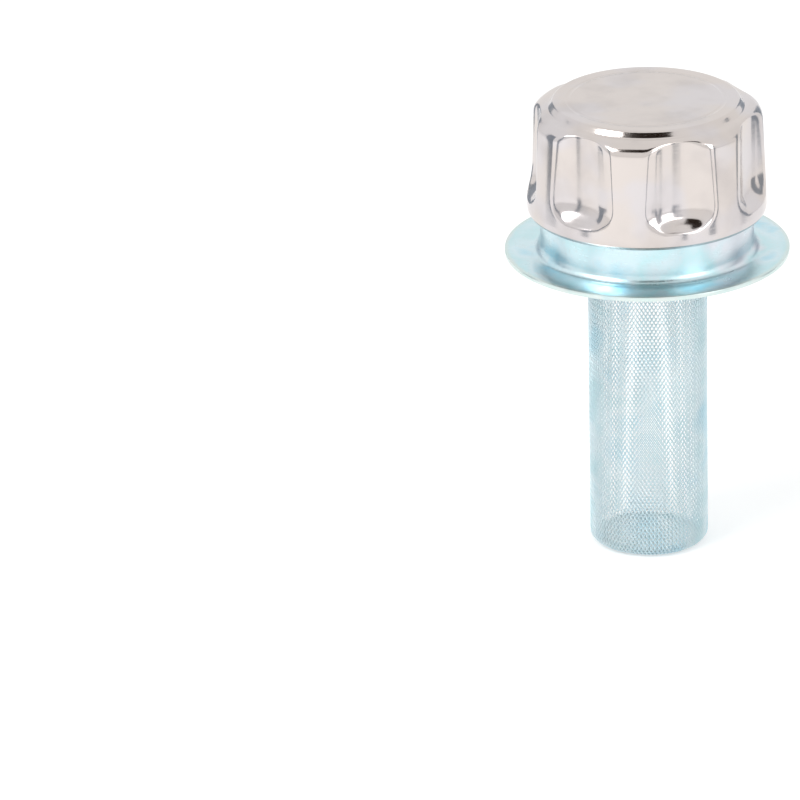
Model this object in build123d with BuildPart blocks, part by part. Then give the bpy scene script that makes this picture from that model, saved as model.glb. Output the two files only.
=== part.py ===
from build123d import *
import os

# Hydraulic filler breather for welding to the top of an oil tank.
# A pressed flange carries an upright neck whose lip takes a two-lug bayonet cap. A mesh filling
# basket hangs from a seat inside the neck. The fluted cap has a breather disc and an air filter.
#
# Millimetres, +Z up. The origin is the centre of the flange's underside, which lies on the tank.
# At rest the cap is locked: its lugs stand locked_turn degrees clockwise of the notches.

# ---- Driving dimensions: flange and neck ----
flange_diameter = 95.0
neck_top = 19.0
neck_sheet = 1.5
neck_foot_bend = 3.75  # bends are on the middle of the sheet
neck_lip_bend = 1.75
neck_clearance = 0.95  # between the neck and the cap's curled-in edge, all round
lip_width = 6.15  # from the outside of the neck to the opening
notch_width = 20.0
notch_depth = 3.1  # cut into the lip from its opening
stop_angle = 82.0  # from the notch to the middle of the stop, clockwise
stop_width = 1.8
stop_drop = 3.0
stop_inset = 0.6  # from the lip's opening to the stop

# ---- Driving dimensions: basket seat ----
seat_sheet = 0.8
seat_clearance = 0.3  # between the seat and the neck, all round
seat_bottom = 1.4
seat_step = 1.0
seat_slope = 1.2
seat_rim_top = 9.0
seat_slope_width = 4.15  # sloping part of the trough, from the neck inwards
seat_trough_rise = 3.1  # from the seat's tube out to the flat of the trough
seat_tube_diameter = 44.2
seat_tube_top = 10.1

# ---- Driving dimensions: filling basket ----
basket_diameter = 40.0
basket_bottom = -104.0
basket_corner = 3.0
basket_turned_in_diameter = 29.0
mesh_thickness = 0.75
mesh_columns = 11
mesh_rows = 10
mesh_rib = 2.4
floor_grid_pitch = 5.0
floor_grid_rib = 1.6
rim_sheet = 0.7
rim_clearance = 0.3  # between the rim and the seat's tube, on both sides
rim_bend = 0.6
rim_groove_depth = 2.15
rim_skirt_bottom = 5.5
rim_sleeve_bottom = 3.0
crimp_bottom = 3.5
crimp_sheet = 0.75
sheet_gap = 0.1  # between sheets that are crimped or pressed together

# ---- Driving dimensions: cap shell ----
cap_diameter = 80.0
cap_taper = 1.5  # how much the wall leans in, on the radius
cap_bottom = 14.4
cap_top = 53.5
cap_sheet = 0.8
cap_shoulder_top = 51.4
cap_shoulder_fall = 1.2
cap_disc_margin = 2.7  # from the flutes' floors in to the raised disc
cap_disc_bevel = 1.5
cap_skirt_height = 3.5  # straight skirt below the tapered wall
cap_skirt_radius = 2.4
cap_shoulder_radius = 2.5
cap_disc_foot_radius = 1.0
cap_disc_edge_radius = 1.2
hem_width = 3.4  # of the edge that is curled in
flute_count = 7
flute_first_angle = -73.2  # centre of the first flute, anticlockwise from +X
flute_depth = 4.8
flute_hollow_radius = 34.0
flute_bottom = 19.6
flute_end_radius = 11.0
flute_edge_radius = 2.0

# ---- Driving dimensions: inside the cap ----
locked_turn = 60.0
gasket_lift = 0.1  # the cap turns this far above the lip
gasket_inner_diameter = 45.6
gasket_thickness = 1.9
disc_sheet = 1.0
disc_boss_diameter = 42.4
disc_boss_drop = 1.0
disc_edge_drop = 2.5
disc_clearance = 0.4  # between the disc and the cap shell, all round
disc_edge_width = 2.1
disc_shoulder = 2.1  # from the gasket out to the disc's lowered edge
disc_rim_gap = 0.9  # above the cap's curled-in edge
disc_bend = 0.8
air_notch_count = 6
air_notch_width = 8.0
air_notch_depth = 1.6
breather_hole_diameter = 5.2
breather_hole_circle = 35.4
plate_sheet = 1.5
plate_diameter = 34.6
plate_scallop_diameter = 10.0
plate_scallop_circle = 40.0
centre_hole_diameter = 4.1
lug_width = 18.0
lug_clearance = 0.6  # between a lug and the lip above it
lug_play = 0.8  # in front of a lug in its notch
lug_bend_start = 18.5
lug_bend_end = 22.3
lug_bend_radius = 1.6
eyelet_bore = 7.4
eyelet_wall = 0.5
eyelet_flange_diameter = 10.2
eyelet_flange = 0.8
eyelet_circle = 21.6
eyelet_clearance = 0.05
filter_inner_diameter = 45.6
filter_margin = 1.0  # from the edge of the cap's raised disc in to the filter
filter_top = 52.4

# ---- Radii and levels worked out from the above ----
cap_radius = cap_diameter / 2
hem_radius = cap_radius - hem_width
neck_radius = hem_radius - neck_clearance
neck_inner = neck_radius - neck_sheet
lip_opening = neck_radius - lip_width
lip_underside = neck_top - neck_sheet
notch_radius = lip_opening + notch_depth
lug_reach = notch_radius - lug_play
basket_radius = basket_diameter / 2
flute_floor_radius = cap_radius - flute_depth
disc_foot_radius = flute_floor_radius - cap_disc_margin
disc_top_radius = disc_foot_radius - cap_disc_bevel
disc_radius = cap_radius - cap_sheet - disc_clearance
disc_edge_inner = disc_radius - disc_edge_width
disc_rim_bottom = cap_bottom + cap_sheet + disc_rim_gap
gasket_radius = disc_edge_inner - disc_shoulder
filter_radius = disc_top_radius - filter_margin
rim_top = seat_tube_top + rim_sheet
gasket_top = neck_top + gasket_lift + gasket_thickness
boss_underside = gasket_top - disc_boss_drop
boss_top = boss_underside + disc_sheet
plate_underside = boss_underside - plate_sheet
lug_top = lip_underside - lug_clearance
eyelet_hole = eyelet_bore / 2 + eyelet_wall + eyelet_clearance
lug_angle = -locked_turn
eyelet_angle = lug_angle + 90
breather_angle = lug_angle + 45
from_below = (Align.CENTER, Align.CENTER, Align.MIN)

os.makedirs("parts", exist_ok=True)


def save(builder, name):
    """Labels a finished piece and writes its STEP file."""
    builder.part.label = name
    export_step(builder.part, f"parts/{name}.step")


# ---- Flange and neck: one drawn sheet with a flat ring, a collar and a turned-in lip ----
with BuildPart() as flange_neck:
    with BuildSketch(Plane.XZ):
        with BuildLine():
            FilletPolyline(
                (flange_diameter / 2, neck_sheet / 2),
                (neck_radius - neck_sheet / 2, neck_sheet / 2),
                (neck_radius - neck_sheet / 2, neck_top - neck_sheet / 2),
                (lip_opening, neck_top - neck_sheet / 2),
                radius=[neck_foot_bend, neck_lip_bend],
            )
        trace(line_width=neck_sheet)
    revolve(axis=Axis.Z)
    with BuildSketch(Plane.XY.offset(lip_underside)):
        Rectangle(2 * notch_radius, notch_width)
        Circle(notch_radius, mode=Mode.INTERSECT)
    extrude(amount=neck_sheet, mode=Mode.SUBTRACT)
    with BuildSketch(Plane.XY.offset(lip_underside)):
        with PolarLocations(lip_opening + stop_inset + neck_sheet / 2, 2, start_angle=-stop_angle):
            Rectangle(neck_sheet, stop_width)
    extrude(amount=-stop_drop)
save(flange_neck, "flange_neck")

# ---- Basket seat: a trough pressed into the neck from below, with a tube round the filling hole ----
seat_outer_line = neck_inner - seat_clearance - seat_sheet / 2
seat_tube_line = seat_tube_diameter / 2 - seat_sheet / 2
trough_line = seat_bottom + seat_sheet / 2
seat_trough_inner = seat_tube_diameter / 2 + seat_trough_rise
with BuildPart() as basket_seat:
    with BuildSketch(Plane.XZ):
        with BuildLine():
            FilletPolyline(
                (seat_outer_line, seat_rim_top),
                (seat_outer_line, trough_line + seat_slope),
                (neck_inner - seat_slope_width, trough_line),
                (seat_trough_inner, trough_line),
                (seat_trough_inner - seat_step, trough_line + seat_step),
                (seat_tube_line, trough_line + seat_step),
                (seat_tube_line, seat_tube_top),
                radius=[2.0, 2.0, 1.0, 1.0, 1.4],
            )
        trace(line_width=seat_sheet)
    revolve(axis=Axis.Z)
save(basket_seat, "basket_seat")

# ---- Basket rim: a rolled channel that hangs on the seat's tube, with a sleeve inside the mesh ----
skirt_line = seat_tube_diameter / 2 + rim_clearance + rim_sheet / 2
groove_line = seat_tube_diameter / 2 - seat_sheet - rim_clearance - rim_sheet / 2
sleeve_line = basket_radius - mesh_thickness - sheet_gap - rim_sheet / 2
rim_line = rim_top - rim_sheet / 2
groove_floor_line = rim_line - rim_groove_depth
with BuildPart() as basket_rim:
    with BuildSketch(Plane.XZ):
        with BuildLine():
            FilletPolyline(
                (skirt_line, rim_skirt_bottom),
                (skirt_line, rim_line),
                (groove_line, rim_line),
                (groove_line, groove_floor_line),
                (sleeve_line, groove_floor_line),
                (sleeve_line, rim_sleeve_bottom),
                radius=rim_bend,
            )
        trace(line_width=rim_sheet)
    revolve(axis=Axis.Z)
save(basket_rim, "basket_rim")

# ---- Crimp ring: presses the mesh against the rim's sleeve from outside ----
mesh_top = groove_floor_line - rim_sheet / 2 - rim_clearance
with BuildPart() as basket_crimp_ring:
    with BuildSketch(Plane.XY.offset(crimp_bottom)):
        Circle(basket_radius + sheet_gap + crimp_sheet)
        Circle(basket_radius + sheet_gap, mode=Mode.SUBTRACT)
    extrude(amount=mesh_top - crimp_bottom - sheet_gap)
    fillet(basket_crimp_ring.edges().group_by(Axis.Z)[0].sort_by(SortBy.LENGTH)[-1], crimp_sheet / 2)
save(basket_crimp_ring, "basket_crimp_ring")

# ---- Basket wall: the woven tube as crossing ribs, with its lower edge turned in ----
wall_line = basket_radius - mesh_thickness / 2
open_bottom = basket_bottom + basket_corner
row_pitch = (crimp_bottom - open_bottom) / (mesh_rows + 1)
column_angle = 360 / mesh_columns
half_column = 3.14159265 * basket_radius / mesh_columns
rib_slope = (row_pitch**2 + half_column**2) ** 0.5
gap_half_width = half_column - mesh_rib / 2 * rib_slope / row_pitch
gap_half_height = row_pitch - mesh_rib / 2 * rib_slope / half_column
with BuildPart() as basket_wall:
    with BuildSketch(Plane.XZ):
        with BuildLine():
            FilletPolyline(
                (wall_line, mesh_top),
                (wall_line, basket_bottom + mesh_thickness / 2),
                (basket_turned_in_diameter / 2, basket_bottom + mesh_thickness / 2),
                radius=basket_corner - mesh_thickness / 2,
            )
        trace(line_width=mesh_thickness)
    revolve(axis=Axis.Z)
    for column in range(2 * mesh_columns):
        first_row = column % 2
        levels = [open_bottom + (row + 1) * row_pitch for row in range(first_row, mesh_rows, 2)]
        facing = Plane.XZ.rotated((0, 0, column * column_angle / 2))
        with BuildSketch(facing.offset(basket_radius - 3 * mesh_thickness)):
            with Locations(*[(0, level) for level in levels]):
                Polygon(
                    (gap_half_width, 0),
                    (0, gap_half_height),
                    (-gap_half_width, 0),
                    (0, -gap_half_height),
                )
        extrude(amount=5 * mesh_thickness, mode=Mode.SUBTRACT)
save(basket_wall, "basket_wall")

# ---- Basket floor: a square-meshed disc that lies on the wall's turned-in edge ----
floor_radius = basket_radius - basket_corner
grid_count = int(2 * floor_radius / floor_grid_pitch) + 1
with BuildPart() as basket_floor:
    with BuildSketch(Plane.XY.offset(basket_bottom + mesh_thickness)):
        Circle(floor_radius)
        with BuildSketch(mode=Mode.PRIVATE) as openings:
            with GridLocations(floor_grid_pitch, floor_grid_pitch, grid_count, grid_count):
                Rectangle(floor_grid_pitch - floor_grid_rib, floor_grid_pitch - floor_grid_rib)
            Circle(floor_radius - floor_grid_rib, mode=Mode.INTERSECT)
        add(openings.sketch, mode=Mode.SUBTRACT)
    extrude(amount=mesh_thickness)
save(basket_floor, "basket_floor")


# ---- Cap shell: a fluted cup drawn from thin sheet, with its bottom edge curled in ----
def cap_form(inset):
    """The cap's outside, or with an inset its inside: a turned form with hollows down its wall."""
    with BuildPart() as form:
        with BuildSketch(Plane.XZ):
            corners = [
                ((cap_radius, cap_bottom), cap_skirt_radius),
                ((cap_radius - cap_taper, cap_shoulder_top - cap_shoulder_fall), cap_shoulder_radius),
                ((disc_foot_radius, cap_shoulder_top), cap_disc_foot_radius),
                ((disc_top_radius, cap_top), cap_disc_edge_radius),
            ]
            Polygon(
                (0, cap_bottom),
                corners[0][0],
                (cap_radius, cap_bottom + cap_skirt_height),
                corners[1][0],
                corners[2][0],
                corners[3][0],
                (0, cap_top),
                align=None,
            )
            for corner, radius in corners:
                fillet(vertices().sort_by_distance(corner)[0], radius)
            if inset:
                mirror(about=Plane.YZ)
                offset(amount=-inset)
                with Locations((-cap_diameter / 2, cap_top)):
                    Rectangle(cap_diameter, 4 * cap_top, mode=Mode.SUBTRACT)
        revolve(axis=Axis.Z)
        with BuildPart(mode=Mode.PRIVATE) as hollow:
            with Locations((0, 0, flute_bottom - inset)):
                Cylinder(flute_hollow_radius + inset, cap_top, align=from_below)
            fillet(hollow.faces().sort_by(Axis.Z)[0].edges(), flute_end_radius + inset)
        flute_circle = flute_floor_radius + flute_hollow_radius
        with PolarLocations(flute_circle, flute_count, start_angle=flute_first_angle):
            add(hollow.part, mode=Mode.SUBTRACT)
        fillet(form.edges(Select.LAST), flute_edge_radius - inset)
    return form.part


with BuildPart() as cap_shell:
    add(cap_form(0))
    add(cap_form(cap_sheet), mode=Mode.SUBTRACT)
    with Locations((0, 0, cap_bottom - cap_sheet)):
        Cylinder(hem_radius, 3 * cap_sheet, align=from_below, mode=Mode.SUBTRACT)
save(cap_shell, "cap_shell")

# ---- Breather disc: closes the cap from below; air enters at its edge and leaves by four holes ----
boss_line = boss_underside + disc_sheet / 2
edge_line = gasket_top - disc_edge_drop + disc_sheet / 2
rim_radius_line = disc_radius - disc_sheet / 2
with BuildPart() as breather_disc:
    with BuildSketch(Plane.XZ):
        with BuildLine():
            FilletPolyline(
                (0, boss_line),
                (disc_boss_diameter / 2, boss_line),
                (disc_boss_diameter / 2 + disc_boss_drop, gasket_top + disc_sheet / 2),
                (gasket_radius + disc_bend, gasket_top + disc_sheet / 2),
                (disc_edge_inner, edge_line),
                (rim_radius_line, edge_line),
                (rim_radius_line, disc_rim_bottom),
                radius=disc_bend,
            )
        trace(line_width=disc_sheet)
        with Locations((-disc_sheet, boss_line)):
            Rectangle(2 * disc_sheet, 2 * disc_sheet, mode=Mode.SUBTRACT)
    revolve(axis=Axis.Z)
    with PolarLocations(disc_radius, air_notch_count, start_angle=lug_angle):
        with Locations((0, 0, disc_rim_bottom)):
            Box(2 * air_notch_depth, air_notch_width, 12, mode=Mode.SUBTRACT)
    with BuildSketch(Plane.XY.offset(boss_underside)):
        with PolarLocations(breather_hole_circle / 2, 4, start_angle=breather_angle):
            Circle(breather_hole_diameter / 2)
        with PolarLocations(eyelet_circle / 2, 2, start_angle=eyelet_angle):
            Circle(eyelet_hole)
        Circle(centre_hole_diameter / 2)
    extrude(amount=disc_sheet, mode=Mode.SUBTRACT)
save(breather_disc, "breather_disc")

# ---- Cap gasket: a flat rubber ring between the breather disc and the lip ----
with BuildPart() as cap_gasket:
    with BuildSketch(Plane.XY.offset(gasket_top)):
        Circle(gasket_radius)
        Circle(gasket_inner_diameter / 2, mode=Mode.SUBTRACT)
    extrude(amount=-gasket_thickness)
save(cap_gasket, "cap_gasket")

# ---- Bayonet plate: a disc scalloped round the breather holes, with two lugs bent down ----
lug_plane = Plane.XZ.rotated((0, 0, lug_angle))
with BuildPart() as bayonet_plate:
    with BuildSketch(lug_plane):
        with BuildLine():
            FilletPolyline(
                (-lug_reach, lug_top - plate_sheet / 2),
                (-lug_bend_end, lug_top - plate_sheet / 2),
                (-lug_bend_start, boss_underside - plate_sheet / 2),
                (lug_bend_start, boss_underside - plate_sheet / 2),
                (lug_bend_end, lug_top - plate_sheet / 2),
                (lug_reach, lug_top - plate_sheet / 2),
                radius=lug_bend_radius,
            )
        trace(line_width=plate_sheet)
    extrude(amount=lug_width / 2, both=True)
    with Locations((0, 0, plate_underside)):
        Cylinder(plate_diameter / 2, plate_sheet, align=from_below)
    with BuildSketch(Plane.XY.offset(plate_underside)):
        with PolarLocations(plate_scallop_circle / 2, 4, start_angle=breather_angle):
            Circle(plate_scallop_diameter / 2)
        with PolarLocations(eyelet_circle / 2, 2, start_angle=eyelet_angle):
            Circle(eyelet_hole)
        Circle(centre_hole_diameter / 2)
    extrude(amount=plate_sheet, mode=Mode.SUBTRACT)
    Cylinder(lug_reach, 4 * neck_top, mode=Mode.INTERSECT)
save(bayonet_plate, "bayonet_plate")

# ---- Eyelets: two hollow rivets that hold the bayonet plate to the breather disc ----
eyelet_bottom = plate_underside - eyelet_flange
eyelet_top = boss_top + eyelet_flange
for number in (1, 2):
    with BuildPart() as eyelet:
        with PolarLocations(eyelet_circle / 2, 1, start_angle=eyelet_angle + 180 * number):
            with Locations((0, 0, eyelet_bottom)):
                Cylinder(eyelet_bore / 2 + eyelet_wall, eyelet_top - eyelet_bottom, align=from_below)
            with Locations((0, 0, eyelet_bottom), (0, 0, boss_top)):
                Cylinder(eyelet_flange_diameter / 2, eyelet_flange, align=from_below)
            with Locations((0, 0, eyelet_bottom)):
                Cylinder(
                    eyelet_bore / 2,
                    eyelet_top - eyelet_bottom,
                    align=from_below,
                    mode=Mode.SUBTRACT,
                )
        lips = eyelet.edges().group_by(Axis.Z)
        fillet(lips[0] + lips[-1], eyelet_flange / 2 - sheet_gap)
    save(eyelet, f"eyelet_{number}")

# ---- Air filter: a foam ring that stands on the breather disc under the cap's top ----
with BuildPart() as air_filter:
    with BuildSketch(Plane.XY.offset(gasket_top + disc_sheet)):
        Circle(filter_radius)
        Circle(filter_inner_diameter / 2, mode=Mode.SUBTRACT)
    extrude(amount=filter_top - gasket_top - disc_sheet)
save(air_filter, "air_filter")
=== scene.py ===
"""Dresses a hydraulic filler breather: fluted chrome cap, zinc weld flange and woven basket."""
import logging
import math
from dataclasses import dataclass, field
from enum import Enum

import bpy
from mathutils import Euler, Matrix, Vector


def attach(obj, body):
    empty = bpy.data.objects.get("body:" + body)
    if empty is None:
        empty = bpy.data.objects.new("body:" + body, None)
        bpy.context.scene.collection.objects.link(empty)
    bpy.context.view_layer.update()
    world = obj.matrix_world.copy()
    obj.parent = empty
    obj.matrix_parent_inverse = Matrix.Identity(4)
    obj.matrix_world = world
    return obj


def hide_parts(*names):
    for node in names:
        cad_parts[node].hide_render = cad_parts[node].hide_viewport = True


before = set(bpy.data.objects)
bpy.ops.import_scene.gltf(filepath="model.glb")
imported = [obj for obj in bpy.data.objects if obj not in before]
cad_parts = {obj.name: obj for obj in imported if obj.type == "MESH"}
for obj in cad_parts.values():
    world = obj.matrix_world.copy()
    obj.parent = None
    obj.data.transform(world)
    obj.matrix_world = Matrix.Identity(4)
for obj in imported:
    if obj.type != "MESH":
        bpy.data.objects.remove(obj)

log = logging.getLogger("filler_breather")
MM = 0.001
Point = tuple[float, float]


class Slot(Enum):
    """The record's material slots."""

    CHROME = "chrome_shell"
    ZINC = "blue_zinc"
    MESH = "mesh_zinc"
    YELLOW = "yellow_zinc"
    EYELET = "bright_eyelet"
    RUBBER = "black_rubber"
    FOAM = "filter_foam"


class Body(Enum):
    """The two rigid bodies of the part."""

    TANK_FITTING = "tank_fitting"
    CAP = "cap"


class Value:
    """One shader socket, so that Python's operators add Math nodes."""

    def __init__(self, graph: "Graph", socket: bpy.types.NodeSocket) -> None:
        """Wraps a socket.

        Args:
            graph: The node graph that the socket is in.
            socket: The output socket that carries the value.
        """
        self.graph = graph
        self.socket = socket

    def _maths(self, operation: str, first: object, second: object = 0.0) -> "Value":
        """Adds one Math node.

        Args:
            operation: The Math node's operation.
            first: Its first input, a value or a number.
            second: Its second input.

        Returns:
            The node's result.
        """
        return self.graph.node("ShaderNodeMath", {"operation": operation}, {0: first, 1: second})

    def __add__(self, other: object) -> "Value":
        """Returns self + other."""
        return self._maths("ADD", self, other)

    def __radd__(self, other: object) -> "Value":
        """Returns other + self."""
        return self._maths("ADD", other, self)

    def __sub__(self, other: object) -> "Value":
        """Returns self - other."""
        return self._maths("SUBTRACT", self, other)

    def __rsub__(self, other: object) -> "Value":
        """Returns other - self."""
        return self._maths("SUBTRACT", other, self)

    def __mul__(self, other: object) -> "Value":
        """Returns self * other."""
        return self._maths("MULTIPLY", self, other)

    def __rmul__(self, other: object) -> "Value":
        """Returns other * self."""
        return self._maths("MULTIPLY", other, self)

    def sine(self) -> "Value":
        """Returns the sine, with the value in radians."""
        return self._maths("SINE", self)

    def root(self) -> "Value":
        """Returns the square root."""
        return self._maths("SQRT", self)

    def ramp(self, low: float, high: float) -> "Value":
        """Returns the value spread from low..high to 0..1, with soft ends.

        Args:
            low: The value that gives 0.
            high: The value that gives 1.

        Returns:
            The spread value.
        """
        return self.graph.node(
            "ShaderNodeMapRange",
            {"interpolation_type": "SMOOTHSTEP"},
            {"Value": self, "From Min": low, "From Max": high},
        )


class Graph:
    """The node tree of one material."""

    def __init__(self, name: str) -> None:
        """Starts an empty node tree.

        Args:
            name: The material's name.
        """
        self.material = bpy.data.materials.new(name)
        self.material.use_nodes = True
        self.tree = self.material.node_tree
        self.tree.nodes.clear()

    def node(self, kind: str, settings: dict, inputs: dict, output: object = 0) -> Value:
        """Adds any node.

        Args:
            kind: The node's type.
            settings: Its settings; "stops" holds a colour ramp's stops.
            inputs: Values, numbers or colours by socket name or index.
            output: The output socket to return, by name or index.

        Returns:
            The chosen output.
        """
        made = self.tree.nodes.new(kind)
        for key, setting in settings.items():
            if key == "stops":
                ramp = made.color_ramp
                while len(ramp.elements) < len(setting):
                    ramp.elements.new(0.5)
                for element, (place, colour) in zip(ramp.elements, setting):
                    element.position = place
                    element.color = (*colour, 1.0)
            else:
                setattr(made, key, setting)
        for key, value in inputs.items():
            if isinstance(value, Value):
                self.tree.links.new(value.socket, made.inputs[key])
            else:
                made.inputs[key].default_value = value
        return Value(self, made.outputs[output])

    def place(self) -> Value:
        """Returns the surface's place in millimetres."""
        coords = self.node("ShaderNodeTexCoord", {}, {}, "Object")
        scaling = {"operation": "SCALE"}
        return self.node("ShaderNodeVectorMath", scaling, {0: coords, "Scale": 1000.0})

    def split(self, vector: Value) -> tuple[Value, Value, Value]:
        """Returns a vector's three parts.

        Args:
            vector: The vector to split.

        Returns:
            Its X, Y and Z.
        """
        parts = self.node("ShaderNodeSeparateXYZ", {}, {0: vector}).socket.node.outputs
        return Value(self, parts[0]), Value(self, parts[1]), Value(self, parts[2])

    def stretched(self, vector: Value, scale: tuple[float, float, float]) -> Value:
        """Returns a vector with each part scaled.

        Args:
            vector: The vector to scale.
            scale: One factor for each part.

        Returns:
            The scaled vector.
        """
        return self.node("ShaderNodeVectorMath", {"operation": "MULTIPLY"}, {0: vector, 1: scale})

    def noise(self, vector: Value, scale: float, detail: float = 3.0) -> Value:
        """Returns fractal noise from 0 to 1.

        Args:
            vector: The place to read it at.
            scale: Spots per millimetre, about.
            detail: How many octaves it has.

        Returns:
            The noise value.
        """
        sizes = {"Vector": vector, "Scale": scale, "Detail": detail}
        return self.node("ShaderNodeTexNoise", {}, sizes)

    def colours(self, value: Value, stops: list[tuple[float, tuple]]) -> Value:
        """Returns a colour picked by a value.

        Args:
            value: The value, from 0 to 1.
            stops: Places and colours of the ramp.

        Returns:
            The colour.
        """
        return self.node("ShaderNodeValToRGB", {"stops": stops}, {0: value})

    def blend(self, factor: Value, first: object, second: object) -> Value:
        """Returns two colours mixed.

        Args:
            factor: 0 for the first colour, 1 for the second.
            first: The first colour.
            second: The second colour.

        Returns:
            The mixed colour.
        """
        inputs = {0: factor, 6: first, 7: second}
        return self.node("ShaderNodeMix", {"data_type": "RGBA"}, inputs, 2)

    def bump(self, height: Value, strength: float, distance: float) -> Value:
        """Returns a normal bent by a height.

        Args:
            height: The height, from 0 to 1.
            strength: How strongly it shows.
            distance: The height of 1, in millimetres.

        Returns:
            The bent normal.
        """
        inputs = {"Height": height, "Strength": strength, "Distance": distance * MM}
        return self.node("ShaderNodeBump", {}, inputs)

    def finish(self, surface: dict) -> bpy.types.Material:
        """Ends the tree in a Principled shader.

        Args:
            surface: The shader's inputs by socket name.

        Returns:
            The material.
        """
        shader = self.node("ShaderNodeBsdfPrincipled", {}, surface)
        self.node_output(shader)
        return self.material

    def node_output(self, shader: Value) -> None:
        """Joins a shader to the material's output."""
        made = self.tree.nodes.new("ShaderNodeOutputMaterial")
        self.tree.links.new(shader.socket, made.inputs["Surface"])


@dataclass(frozen=True)
class BrightPlate:
    """Bright plated steel with a faint horizontal grain and fine handling marks."""

    name: str = "bright_chrome"
    colour: tuple = (0.65, 0.595, 0.565)
    cool: tuple = (0.64, 0.605, 0.61)
    smoky: tuple = (0.48, 0.44, 0.43)
    gloss: float = 0.085
    ring_radius: float = 0.0
    ring_width: float = 0.9
    ring_slope: float = 0.6

    def build(self) -> bpy.types.Material:
        """Returns the material."""
        graph = Graph(self.name)
        place = graph.place()
        grain = graph.noise(graph.stretched(place, (0.05, 0.05, 3.2)), 1.0, 4.0)
        waves = graph.noise(place, 0.09, 2.0)
        marks = graph.noise(place, 2.6, 5.0).ramp(0.66, 0.72)
        smoke = graph.noise(place, 0.06, 3.0).ramp(0.45, 0.75)
        cool = graph.noise(place, 0.05, 2.0).ramp(0.42, 0.62)
        plate = graph.blend(cool, (*self.colour, 1), (*self.cool, 1))
        base = graph.blend(smoke * 0.45 + marks * 0.2, plate, (*self.smoky, 1))
        rough = self.gloss + grain * 0.09 + smoke * 0.04 + marks * 0.14
        height = grain * 0.55 + waves * 0.7 + marks * 0.25
        if self.ring_radius:
            x, y, z = graph.split(place)
            radius = (x * x + y * y).root()
            top = z.ramp(52.4, 53.2)
            inner, outer = self.ring_radius - self.ring_width, self.ring_radius + self.ring_width
            groove = radius.ramp(inner, inner + self.ring_slope)
            groove = groove * (1.0 - radius.ramp(outer - self.ring_slope, outer))
            turned = (radius * 5.5).sine() * 0.04
            height = height + top * (groove * -12.0 + turned)
        return graph.finish({
            "Base Color": base,
            "Metallic": 1.0,
            "Roughness": rough,
            "Normal": graph.bump(height, 0.35, 0.035),
        })


@dataclass(frozen=True)
class ZincPlate:
    """Satin blue zinc plate, with drifting tints and drying spots."""

    name: str = "blue_zinc_plate"
    pale: tuple = (0.64, 0.79, 0.84)
    blue: tuple = (0.38, 0.68, 0.80)
    green: tuple = (0.54, 0.76, 0.80)
    rose: tuple = (0.70, 0.74, 0.79)
    gloss: float = 0.24
    spots: float = 0.25

    def build(self) -> bpy.types.Material:
        """Returns the material."""
        graph = Graph(self.name)
        place = graph.place()
        x, y, _ = graph.split(place)
        radius = (x * x + y * y).root()
        drift = graph.noise(place, 0.045, 3.0)
        tint = graph.colours(
            drift + (radius * 0.42).sine() * 0.05,
            [(0.30, self.blue), (0.44, self.pale), (0.56, self.green), (0.70, self.rose)],
        )
        speck = graph.noise(place, 1.1, 5.0).ramp(0.50, 0.70)
        edge = radius.ramp(45.6, 47.4)
        worn = graph.blend(speck * self.spots, tint, (0.72, 0.74, 0.73, 1))
        base = graph.blend(edge * 0.35, worn, (0.80, 0.76, 0.62, 1))
        turned = graph.noise(graph.stretched(place, (0.1, 0.1, 2.2)), 1.0, 3.0)
        rough = self.gloss + speck * 0.13 + turned * 0.10
        height = speck * 0.5 + turned * 0.5
        return graph.finish({
            "Base Color": base,
            "Metallic": 1.0,
            "Roughness": rough,
            "Normal": graph.bump(height, 0.3, 0.03),
        })


@dataclass(frozen=True)
class WireZinc:
    """Zinc plated wire, a little duller where the wires lie in each other's shade."""

    name: str = "wire_zinc"

    def build(self) -> bpy.types.Material:
        """Returns the material."""
        graph = Graph(self.name)
        place = graph.place()
        drift = graph.noise(place, 0.07, 3.0)
        fine = graph.noise(place, 3.0, 3.0)
        tint = graph.colours(
            drift,
            [(0.30, (0.60, 0.79, 0.86)), (0.50, (0.78, 0.88, 0.91)), (0.68, (0.64, 0.81, 0.85))],
        )
        base = graph.blend(fine.ramp(0.55, 0.75) * 0.3, tint, (0.36, 0.42, 0.45, 1))
        return graph.finish({
            "Base Color": base,
            "Metallic": 1.0,
            "Roughness": 0.26 + fine * 0.16,
            "Normal": graph.bump(fine, 0.2, 0.02),
        })


@dataclass(frozen=True)
class YellowZinc:
    """Yellow chromated zinc, gold with reddish and greenish clouds."""

    name: str = "yellow_chromate"

    def build(self) -> bpy.types.Material:
        """Returns the material."""
        graph = Graph(self.name)
        place = graph.place()
        drift = graph.noise(place, 0.16, 4.0)
        tint = graph.colours(
            drift,
            [
                (0.28, (0.62, 0.38, 0.24)),
                (0.42, (0.80, 0.62, 0.28)),
                (0.56, (0.84, 0.74, 0.42)),
                (0.70, (0.58, 0.64, 0.36)),
            ],
        )
        fine = graph.noise(place, 1.6, 4.0)
        return graph.finish({
            "Base Color": tint,
            "Metallic": 1.0,
            "Roughness": 0.22 + fine * 0.22,
            "Normal": graph.bump(fine, 0.25, 0.03),
        })


@dataclass(frozen=True)
class SoftBlack:
    """Rubber or foam: dark, dull and grainy or open-celled."""

    name: str
    colour: tuple = (0.025, 0.025, 0.027)
    cells: float = 0.8
    depth: float = 0.12

    def build(self) -> bpy.types.Material:
        """Returns the material."""
        graph = Graph(self.name)
        place = graph.place()
        cloud = graph.noise(place, 0.2, 3.0)
        cells = graph.node("ShaderNodeTexVoronoi", {}, {"Vector": place, "Scale": self.cells})
        dusty = tuple(channel * 2.4 + 0.01 for channel in self.colour)
        return graph.finish({
            "Base Color": graph.blend(cloud.ramp(0.4, 0.7), (*self.colour, 1), (*dusty, 1)),
            "Roughness": 0.62 + cloud * 0.25,
            "Normal": graph.bump(cells, 0.5, self.depth),
        })


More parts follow.
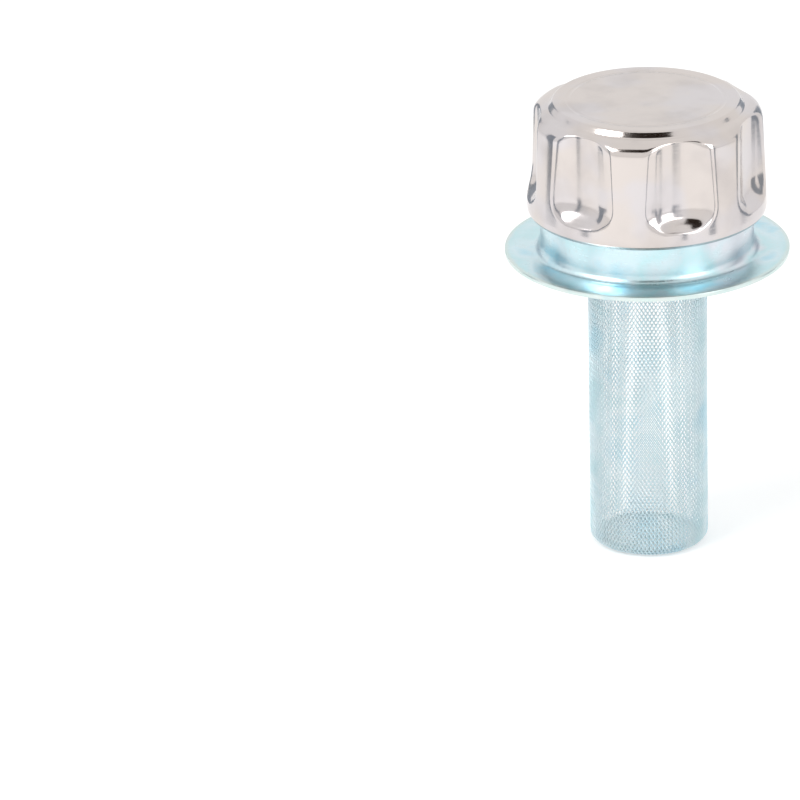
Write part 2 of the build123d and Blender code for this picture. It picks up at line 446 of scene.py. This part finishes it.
class Bench:
    """The shaping steps that the pieces share."""

    @staticmethod
    def clear() -> None:
        """Deselects everything."""
        for item in bpy.context.selected_objects:
            item.select_set(False)

    @staticmethod
    def rounded(points: list[Point], radii: list[float], steps: int = 7) -> list[Point]:
        """Rounds the inner corners of a line.

        Args:
            points: The line's corners, in millimetres.
            radii: One radius for each inner corner.
            steps: Points along each rounded corner.

        Returns:
            The rounded line.
        """
        line = [points[0]]
        for before, corner, after, radius in zip(points, points[1:], points[2:], radii):
            here = Vector(corner)
            back = (Vector(before) - here).normalized()
            ahead = (Vector(after) - here).normalized()
            half = back.angle(ahead) / 2
            middle = here + (back + ahead).normalized() * (radius / math.sin(half))
            start = here + back * (radius / math.tan(half)) - middle
            end = here + ahead * (radius / math.tan(half)) - middle
            for step in range(steps + 1):
                toward = start.slerp(end, step / steps).normalized()
                line.append(tuple(middle + toward * radius))
        line.append(points[-1])
        return line

    @staticmethod
    def divided(line: list[Point], longest: float) -> list[Point]:
        """Divides a line's long runs.

        Args:
            line: The line, in millimetres.
            longest: The longest run left.

        Returns:
            The divided line.
        """
        dense = [line[0]]
        for start, end in zip(line, line[1:]):
            parts = max(1, math.ceil(math.dist(start, end) / longest))
            for part in range(1, parts + 1):
                share = part / parts
                dense.append(tuple(a + (b - a) * share for a, b in zip(start, end)))
        return dense

    @staticmethod
    def spin(name: str, line: list[Point], steps: int) -> bpy.types.Object:
        """Spins a line of radii and heights into a surface round the Z axis.

        Args:
            name: The piece's name.
            line: Radii and heights, in millimetres.
            steps: Faces in one turn.

        Returns:
            The spun surface, with its doubles merged.
        """
        Bench.clear()
        bpy.ops.mesh.primitive_circle_add(vertices=len(line), radius=1.0, fill_type="NOTHING")
        piece = bpy.context.object
        piece.name = piece.data.name = name
        for vertex, (radius, height) in zip(piece.data.vertices, line):
            vertex.co = (radius * MM, 0.0, height * MM)
        bpy.ops.object.mode_set(mode="EDIT")
        bpy.ops.mesh.select_mode(type="EDGE")
        bpy.ops.mesh.select_all(action="DESELECT")
        bpy.ops.object.mode_set(mode="OBJECT")
        last = len(line) - 1
        for edge in piece.data.edges:
            edge.select = set(edge.vertices) == {0, last}
        bpy.ops.object.mode_set(mode="EDIT")
        bpy.ops.mesh.delete(type="EDGE")
        bpy.ops.mesh.select_all(action="SELECT")
        bpy.ops.mesh.spin(steps=steps, angle=math.tau, center=(0, 0, 0), axis=(0, 0, 1))
        bpy.ops.mesh.select_all(action="SELECT")
        bpy.ops.mesh.remove_doubles(threshold=0.00002)
        bpy.ops.mesh.normals_make_consistent(inside=False)
        bpy.ops.object.mode_set(mode="OBJECT")
        return piece

    @staticmethod
    def apply(piece: bpy.types.Object, kind: str, settings: dict) -> None:
        """Adds a modifier and applies it.

        Args:
            piece: The piece to change.
            kind: The modifier's type.
            settings: The modifier's settings.
        """
        Bench.clear()
        piece.select_set(True)
        bpy.context.view_layer.objects.active = piece
        modifier = piece.modifiers.new(kind.lower(), kind)
        for key, setting in settings.items():
            setattr(modifier, key, setting)
        bpy.ops.object.modifier_apply(modifier=modifier.name)

    @staticmethod
    def smooth(piece: bpy.types.Object, degrees: float = 40.0) -> None:
        """Shades a piece smooth, with edges sharper than an angle left crisp."""
        Bench.clear()
        piece.select_set(True)
        bpy.context.view_layer.objects.active = piece
        bpy.ops.object.shade_smooth_by_angle(angle=math.radians(degrees))

    @staticmethod
    def dress(piece: bpy.types.Object, material: bpy.types.Material) -> None:
        """Gives a piece one material."""
        piece.data.materials.clear()
        piece.data.materials.append(material)

    @staticmethod
    def redress(node: str, material: bpy.types.Material) -> None:
        """Gives a carried-over node another material.

        Args:
            node: The node's name.
            material: Its new material.
        """
        for slot in bpy.data.objects[node].material_slots:
            slot.material = material
        log.info("node %s: %s", node, material.name)


@dataclass
class Cap:
    """The fluted cap's shell, in millimetres."""

    outline: list[Point] = field(default_factory=lambda: [
        (36.6, 14.4), (40.0, 14.4), (40.0, 17.9), (38.5, 50.2),
        (32.5, 51.4), (31.0, 53.5), (0.0, 53.5)])
    corner_radii: list[float] = field(default_factory=lambda: [2.4, 20.0, 4.4, 1.0, 1.2])
    sheet: float = 0.8
    flutes: int = 7
    first_flute: float = -73.2
    flute_floor: float = 35.2
    flute_depth: float = 4.4
    flute_half_angle: float = 18.4
    flute_power: float = 2.8
    flute_bottom: float = 20.6
    flute_end: float = 9.0
    flute_flat: float = 12.0
    clear_of_flutes: float = 99.0
    press_margin: float = 2.0
    softness: float = 1.7
    steps: int = 392
    hem_points: int = 10
    hem_run: float = 0.9
    wall_run: float = 0.62
    crown_radius: float = 29.0
    crown_skip: int = 6

    def flute_wall(self, turn: float, height: float) -> float:
        """Gives the radius of the nearest flute's surface.

        Args:
            turn: The angle round the cap, in degrees.
            height: The height above the flange's underside.

        Returns:
            The radius, or a large one where no flute reaches.
        """
        rise = height - self.flute_bottom
        if rise <= 0:
            return self.clear_of_flutes
        pitch = 360.0 / self.flutes
        aside = abs((turn - self.first_flute + pitch / 2) % pitch - pitch / 2)
        across = (aside / self.flute_half_angle) ** self.flute_power
        down = max(0.0, 1.0 - rise / self.flute_end) ** self.flute_power
        flat = self.flute_floor / math.cos(math.radians(min(aside, self.flute_flat)))
        return flat + self.flute_depth * (across + down)

    def press_flutes(self, shell: bpy.types.Object) -> None:
        """Presses the flutes into the spun shell, with soft edges.

        Args:
            shell: The spun shell.
        """
        for vertex in shell.data.vertices:
            radius = vertex.co.xy.length / MM
            if radius < self.flute_floor - self.press_margin:
                continue
            turn = math.degrees(math.atan2(vertex.co.y, vertex.co.x))
            wall = self.flute_wall(turn, vertex.co.z / MM)
            near = max(self.softness - abs(radius - wall), 0.0) / self.softness
            pressed = min(radius, wall) - near * near * self.softness / 4
            vertex.co.x *= pressed / radius
            vertex.co.y *= pressed / radius

    def build_shell(self, material: bpy.types.Material) -> None:
        """Builds the cap's shell.

        Args:
            material: Its finish.
        """
        line = Bench.rounded(self.outline, self.corner_radii)
        hem, wall = line[:self.hem_points], line[self.hem_points - 1:]
        dense = Bench.divided(hem, self.hem_run)[:-1] + Bench.divided(wall, self.wall_run)
        crown = [point for point in dense if point[0] < self.crown_radius]
        side = [point for point in dense if point[0] >= self.crown_radius]
        dense = side + crown[2::self.crown_skip] + [self.outline[-1]]
        shell = Bench.spin("cap_fluted_shell", dense, self.steps)
        self.press_flutes(shell)
        Bench.apply(shell, "SOLIDIFY", {"thickness": self.sheet * MM, "offset": -1.0})
        Bench.smooth(shell, 50.0)
        Bench.dress(shell, material)
        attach(shell, Body.CAP.value)
        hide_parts("cap_shell")
        log.info("cap_fluted_shell: %d faces", len(shell.data.polygons))


@dataclass
class Neck:
    """The weld flange with its neck, and the basket's seat inside it, in millimetres."""

    flange_line: list[Point] = field(default_factory=lambda: [
        (47.5, 0.75), (34.9, 0.75), (34.9, 18.25), (29.5, 18.25)])
    flange_bends: list[float] = field(default_factory=lambda: [3.75, 1.75])
    flange_sheet: float = 1.5
    seat_line: list[Point] = field(default_factory=lambda: [
        (33.45, 9.0), (33.45, 3.0), (30.0, 1.8), (25.2, 1.8),
        (24.2, 2.8), (21.7, 2.8), (21.7, 10.1)])
    seat_bends: list[float] = field(default_factory=lambda: [2.0, 2.0, 1.0, 1.0, 1.4])
    seat_sheet: float = 0.8
    notch_half_width: float = 10.0
    notch_reach: float = 32.6
    lip_height: float = 17.0
    lip_run: float = 0.8
    edge: float = 0.14
    edge_angle: float = 50.0

    def cut_notches(self, piece: bpy.types.Object) -> None:
        """Cuts the two notches into the lip.

        Args:
            piece: The spun flange, before it gets its thickness.
        """
        bpy.context.view_layer.objects.active = piece
        bpy.ops.object.mode_set(mode="EDIT")
        bpy.ops.mesh.select_mode(type="FACE")
        bpy.ops.mesh.select_all(action="DESELECT")
        bpy.ops.object.mode_set(mode="OBJECT")
        for face in piece.data.polygons:
            middle = face.center / MM
            inside = middle.xy.length < self.notch_reach and middle.z > self.lip_height
            face.select = inside and abs(middle.y) < self.notch_half_width
        bpy.ops.object.mode_set(mode="EDIT")
        bpy.ops.mesh.delete(type="FACE")
        bpy.ops.object.mode_set(mode="OBJECT")

    def build(self, material: bpy.types.Material) -> None:
        """Builds the flange and the seat.

        Args:
            material: Their finish.
        """
        line = Bench.rounded(self.flange_line, self.flange_bends, 9)
        lip = Bench.divided(line[-2:], self.lip_run)[1:]
        flange = Bench.spin("weld_flange_and_neck", line[:-1] + lip, 288)
        self.cut_notches(flange)
        self.thicken(flange, self.flange_sheet, material, "flange_neck")
        seat_line = Bench.rounded(self.seat_line, self.seat_bends, 6)
        seat = Bench.spin("basket_seat_pressing", seat_line, 216)
        self.thicken(seat, self.seat_sheet, material, "basket_seat")

    def thicken(
        self, piece: bpy.types.Object, sheet: float, material: bpy.types.Material, node: str
    ) -> None:
        """Gives a spun sheet its thickness, edges, finish and place.

        Args:
            piece: The spun sheet's middle surface.
            sheet: Its thickness.
            material: Its finish.
            node: The CAD node that it stands for.
        """
        Bench.apply(piece, "SOLIDIFY", {"thickness": sheet * MM, "offset": 0.0})
        Bench.apply(piece, "BEVEL", {
            "width": self.edge * MM, "segments": 2, "limit_method": "ANGLE",
            "angle_limit": math.radians(self.edge_angle)})
        Bench.smooth(piece)
        Bench.dress(piece, material)
        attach(piece, Body.TANK_FITTING.value)
        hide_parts(node)
        log.info("%s: %d faces", piece.name, len(piece.data.polygons))


@dataclass
class Basket:
    """The woven filling basket, in millimetres."""

    wall_line: list[Point] = field(default_factory=lambda: [
        (19.63, 7.6), (19.63, -103.62), (14.6, -103.62)])
    corner: float = 2.62
    wires: int = 90
    wire: float = 0.36
    lift: float = 0.185
    lean: float = 0.62
    floor_pitch: float = 1.3
    floor_radius: float = 16.9
    floor_height: float = -102.87

    def strand(self, name: str, path: list[Vector]) -> bpy.types.Mesh:
        """Makes one wire's mesh along a path.

        Args:
            name: The mesh's name.
            path: Its points, in millimetres.

        Returns:
            The wire's mesh.
        """
        curve = bpy.data.curves.new(name, "CURVE")
        curve.dimensions = "3D"
        curve.bevel_depth = self.wire / 2 * MM
        curve.bevel_resolution = 0
        curve.use_fill_caps = True
        spline = curve.splines.new("POLY")
        spline.points.add(len(path) - 1)
        for point, place in zip(spline.points, path):
            point.co = (*(place * MM), 1.0)
        item = bpy.data.objects.new(name, curve)
        mesh = bpy.data.meshes.new_from_object(item)
        bpy.data.objects.remove(item)
        bpy.data.curves.remove(curve)
        return mesh

    def helix(self, hand: int) -> list[Vector]:
        """Gives the path of one wire down the wall and in under the floor.

        Args:
            hand: 1 for a wire that leans one way, -1 for the other.

        Returns:
            The path's points.
        """
        line = Bench.rounded(self.wall_line, [self.corner], 12)
        radius = line[0][0]
        crossing = math.tau / self.wires * radius / (2 * self.lean)
        dense = Bench.divided(line, crossing / 2)
        path = []
        run = 0.0
        turn = 0.0
        steps = zip(dense, dense[1:] + [dense[-1]], [dense[0]] + dense[:-1])
        for (here_r, here_z), (next_r, next_z), (last_r, last_z) in steps:
            along = Vector((next_r - last_r, next_z - last_z)).normalized()
            out = Vector((-along.y, along.x))
            run += math.dist((here_r, here_z), (last_r, last_z))
            turn += math.dist((here_r, here_z), (last_r, last_z)) * self.lean / here_r
            wave = hand * self.lift * math.cos(math.pi * run / crossing)
            reach, level = here_r + out.x * wave, here_z + out.y * wave
            angle = hand * turn
            path.append(Vector((reach * math.cos(angle), reach * math.sin(angle), level)))
        return path

    def gather(self, name: str, meshes: list[tuple[bpy.types.Mesh, Matrix]]) -> bpy.types.Object:
        """Joins copies of wires into one piece.

        Args:
            name: The piece's name.
            meshes: Each wire's mesh and where its copy goes.

        Returns:
            The joined piece.
        """
        corners: list[tuple] = []
        faces: list[tuple] = []
        for mesh, move in meshes:
            start = len(corners)
            corners.extend(tuple(move @ vertex.co) for vertex in mesh.vertices)
            faces.extend(tuple(start + i for i in face.vertices) for face in mesh.polygons)
        joined = bpy.data.meshes.new(name)
        joined.from_pydata(corners, [], faces)
        joined.update()
        piece = bpy.data.objects.new(name, joined)
        bpy.context.collection.objects.link(piece)
        joined.shade_smooth()
        return piece

    def place(self, piece: bpy.types.Object, material: bpy.types.Material, node: str) -> None:
        """Finishes one woven piece.

        Args:
            piece: The piece.
            material: Its finish.
            node: The CAD node that it stands for.
        """
        Bench.dress(piece, material)
        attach(piece, Body.TANK_FITTING.value)
        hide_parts(node)
        log.info("%s: %d faces", piece.name, len(piece.data.polygons))

    def build(self, material: bpy.types.Material) -> None:
        """Weaves the wall and the floor.

        Args:
            material: The wires' finish.
        """
        for hand, side in ((1, "right"), (-1, "left")):
            wire = self.strand(f"wire_{side}", self.helix(hand))
            turns = [Matrix.Rotation(math.tau * i / self.wires, 4, "Z") for i in range(self.wires)]
            wall = self.gather(f"wall_wires_{side}", [(wire, turn) for turn in turns])
            self.place(wall, material, "basket_wall")
        wires = []
        count = int(self.floor_radius / self.floor_pitch)
        for row in range(-count, count + 1):
            aside = row * self.floor_pitch
            reach = math.sqrt(self.floor_radius**2 - aside**2)
            points = int(2 * reach / (self.floor_pitch / 2))
            for across in (0, 1):
                path = []
                for step in range(-points // 2, points // 2 + 1):
                    along = step * self.floor_pitch / 2
                    sign = 1 if (row + across) % 2 else -1
                    wave = sign * self.lift * math.cos(math.pi * along / self.floor_pitch)
                    spot = (along, aside) if across else (aside, along)
                    path.append(Vector((*spot, self.floor_height + wave)))
                wires.append((self.strand("floor_wire", path), Matrix.Identity(4)))
        self.place(self.gather("floor_wires", wires), material, "basket_floor")


@dataclass
class Studio:
    """A white floor, soft lamps, dark cards that the bright plate mirrors, and the camera."""

    floor_height: float = -0.1042
    distance: float = 2.45
    elevation: float = 21.5
    aside: float = 1.93
    above: float = 1.18
    roll: float = -0.45
    lens: float = 330.0
    floor_side: float = 30.0
    floor_glow: float = 0.30
    floor_white: float = 0.86
    room_light: float = 0.75
    room_seen: float = 1.0
    lamps: tuple = (
        ("key_lamp", (-0.9, -0.7, 1.1), 0.7, 9.0), ("fill_lamp", (1.1, -0.9, 0.5), 0.8, 5.0))
    brown: tuple = (0.022, 0.012, 0.008)
    slate: tuple = (0.34, 0.38, 0.43)
    ring_reach: float = 0.42
    ring_level: float = 0.06
    ring_card_height: float = 0.33
    ring_cards: tuple = (
        (-58, 0.05), (34, 0.03), (62, 0.05), (105, 0.12), (-100, 0.12), (150, 0.10), (-146, 0.10))

    def white(self, name: str, glow: float, colour: float) -> bpy.types.Material:
        """Makes a white surface that the camera and mirrors see a little brighter.

        Args:
            name: The material's name.
            glow: The extra brightness.
            colour: How white it is.

        Returns:
            The material.
        """
        graph = Graph(name)
        path = graph.node("ShaderNodeLightPath", {}, {}, "Is Camera Ray")
        outs = path.socket.node.outputs
        glossy = Value(graph, outs["Is Glossy Ray"])
        seen = path + glossy + Value(graph, outs["Is Transmission Ray"])
        plain = {"Color": (colour, colour, colour, 1)}
        matt = graph.node("ShaderNodeBsdfDiffuse", {}, plain)
        light = graph.node("ShaderNodeEmission", {}, {"Color": (1, 1, 1, 1), "Strength": glow})
        both = graph.node("ShaderNodeAddShader", {}, {0: matt, 1: light})
        mixed = graph.node("ShaderNodeMixShader", {}, {0: seen.ramp(0.0, 1.0), 1: matt, 2: both})
        below = graph.node("ShaderNodeNewGeometry", {}, {}, "Backfacing")
        clear = graph.node("ShaderNodeBsdfTransparent", {}, {})
        graph.node_output(graph.node("ShaderNodeMixShader", {}, {0: below, 1: mixed, 2: clear}))
        return graph.material

    def dark(self, name: str, colour: tuple) -> bpy.types.Material:
        """Makes a card's matt material.

        Args:
            name: The material's name.
            colour: Its colour.

        Returns:
            The material.
        """
        graph = Graph(name)
        graph.node_output(graph.node("ShaderNodeBsdfDiffuse", {}, {"Color": (*colour, 1)}))
        return graph.material

    def card(
        self, name: str, place: tuple, turn: tuple, size: Point, material: bpy.types.Material
    ) -> None:
        """Hangs a dark card out of the camera's view.

        Args:
            name: The card's name.
            place: Its middle, in metres.
            turn: Its turns about X, Y and Z, in degrees.
            size: Its width and height.
            material: Its finish.
        """
        Bench.clear()
        bpy.ops.mesh.primitive_plane_add(size=1.0, location=place)
        card = bpy.context.object
        card.name = name
        card.rotation_euler = Euler([math.radians(part) for part in turn])
        card.scale = (*size, 1.0)
        Bench.dress(card, material)
        card.visible_camera = False
        card.visible_shadow = False
        card.visible_diffuse = False

    def lamp(self, name: str, place: tuple, size: float, power: float) -> None:
        """Hangs a soft square lamp that points at the part.

        Args:
            name: The lamp's name.
            place: Its place, in metres.
            size: Its side.
            power: Its power, in watts.
        """
        data = bpy.data.lights.new(name, "AREA")
        data.size = size
        data.energy = power
        lamp = bpy.data.objects.new(name, data)
        bpy.context.collection.objects.link(lamp)
        lamp.location = place
        lamp.rotation_euler = Vector(place).to_track_quat("Z", "Y").to_euler()

    def light(self) -> None:
        """Sets the world, the floor, the lamps and the cards."""
        world = bpy.data.worlds.new("white_room")
        world.use_nodes = True
        bpy.context.scene.world = world
        tree = world.node_tree
        tree.nodes.clear()
        path = tree.nodes.new("ShaderNodeLightPath")
        seen = tree.nodes.new("ShaderNodeMath")
        seen.operation = "MAXIMUM"
        tree.links.new(path.outputs["Is Camera Ray"], seen.inputs[0])
        tree.links.new(path.outputs["Is Glossy Ray"], seen.inputs[1])
        room = tree.nodes.new("ShaderNodeMapRange")
        room.inputs["To Min"].default_value = self.room_light
        room.inputs["To Max"].default_value = self.room_seen
        tree.links.new(seen.outputs[0], room.inputs["Value"])
        back = tree.nodes.new("ShaderNodeBackground")
        back.inputs["Color"].default_value = (1, 1, 1, 1)
        tree.links.new(room.outputs[0], back.inputs["Strength"])
        out = tree.nodes.new("ShaderNodeOutputWorld")
        tree.links.new(back.outputs[0], out.inputs["Surface"])
        Bench.clear()
        bpy.ops.mesh.primitive_plane_add(size=self.floor_side, location=(0, 0, self.floor_height))
        floor = bpy.context.object
        floor.name = "studio_floor"
        Bench.dress(floor, self.white("floor_white", self.floor_glow, self.floor_white))
        for lamp in self.lamps:
            self.lamp(*lamp)
        brown = self.dark("dark_card", self.brown)
        slate = self.dark("slate_card", self.slate)
        self.card("camera_card", (0.0, -0.74, 0.95), (38, 0, 0), (1.0, 0.55), brown)
        for turn, width in self.ring_cards:
            side = math.radians(turn)
            reach = self.ring_reach
            place = (reach * math.sin(side), -reach * math.cos(side), self.ring_level)
            size = (width, self.ring_card_height)
            self.card(f"slate_card_{turn + 180}", place, (90, 0, turn), size, slate)

    def aim(self) -> None:
        """Places the camera."""
        camera = bpy.data.objects.new("camera", bpy.data.cameras.new("camera"))
        bpy.context.collection.objects.link(camera)
        camera.data.lens = self.lens
        camera.data.sensor_width = 36.0
        camera.data.clip_end = 100.0
        tilt = math.radians(self.elevation)
        seat = Vector((0.0, -math.cos(tilt), math.sin(tilt))) * self.distance
        facing = (-seat).to_track_quat("-Z", "Y").to_matrix().to_4x4()
        turn = Matrix.Rotation(math.radians(self.aside), 4, "Y")
        nod = Matrix.Rotation(-math.radians(self.above), 4, "X")
        roll = Matrix.Rotation(math.radians(self.roll), 4, "Z")
        camera.matrix_world = Matrix.Translation(seat) @ facing @ roll @ turn @ nod
        bpy.context.scene.camera = camera
        bpy.context.scene.view_settings.view_transform = "Standard"


def main() -> None:
    """Builds and dresses the part, then the studio round it."""
    logging.basicConfig(level=logging.INFO)
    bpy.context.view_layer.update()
    chrome = BrightPlate(ring_radius=26.0).build()
    zinc = ZincPlate().build()
    Cap().build_shell(chrome)
    Neck().build(zinc)
    Basket().build(WireZinc().build())
    for node in ("basket_rim", "basket_crimp_ring", "breather_disc"):
        Bench.redress(node, zinc)
    Bench.redress("bayonet_plate", YellowZinc().build())
    eyelet_plate = BrightPlate("eyelet_nickel", gloss=0.16)
    nickel = eyelet_plate.build()
    Bench.redress("eyelet_1", nickel)
    Bench.redress("eyelet_2", nickel)
    Bench.redress("cap_gasket", SoftBlack("nitrile_rubber", cells=1.4, depth=0.05).build())
    foam = SoftBlack("open_foam", (0.05, 0.05, 0.055), 0.9, 0.4)
    Bench.redress("air_filter", foam.build())
    studio = Studio()
    studio.light()
    studio.aim()


if __name__ == "__main__":
    main()
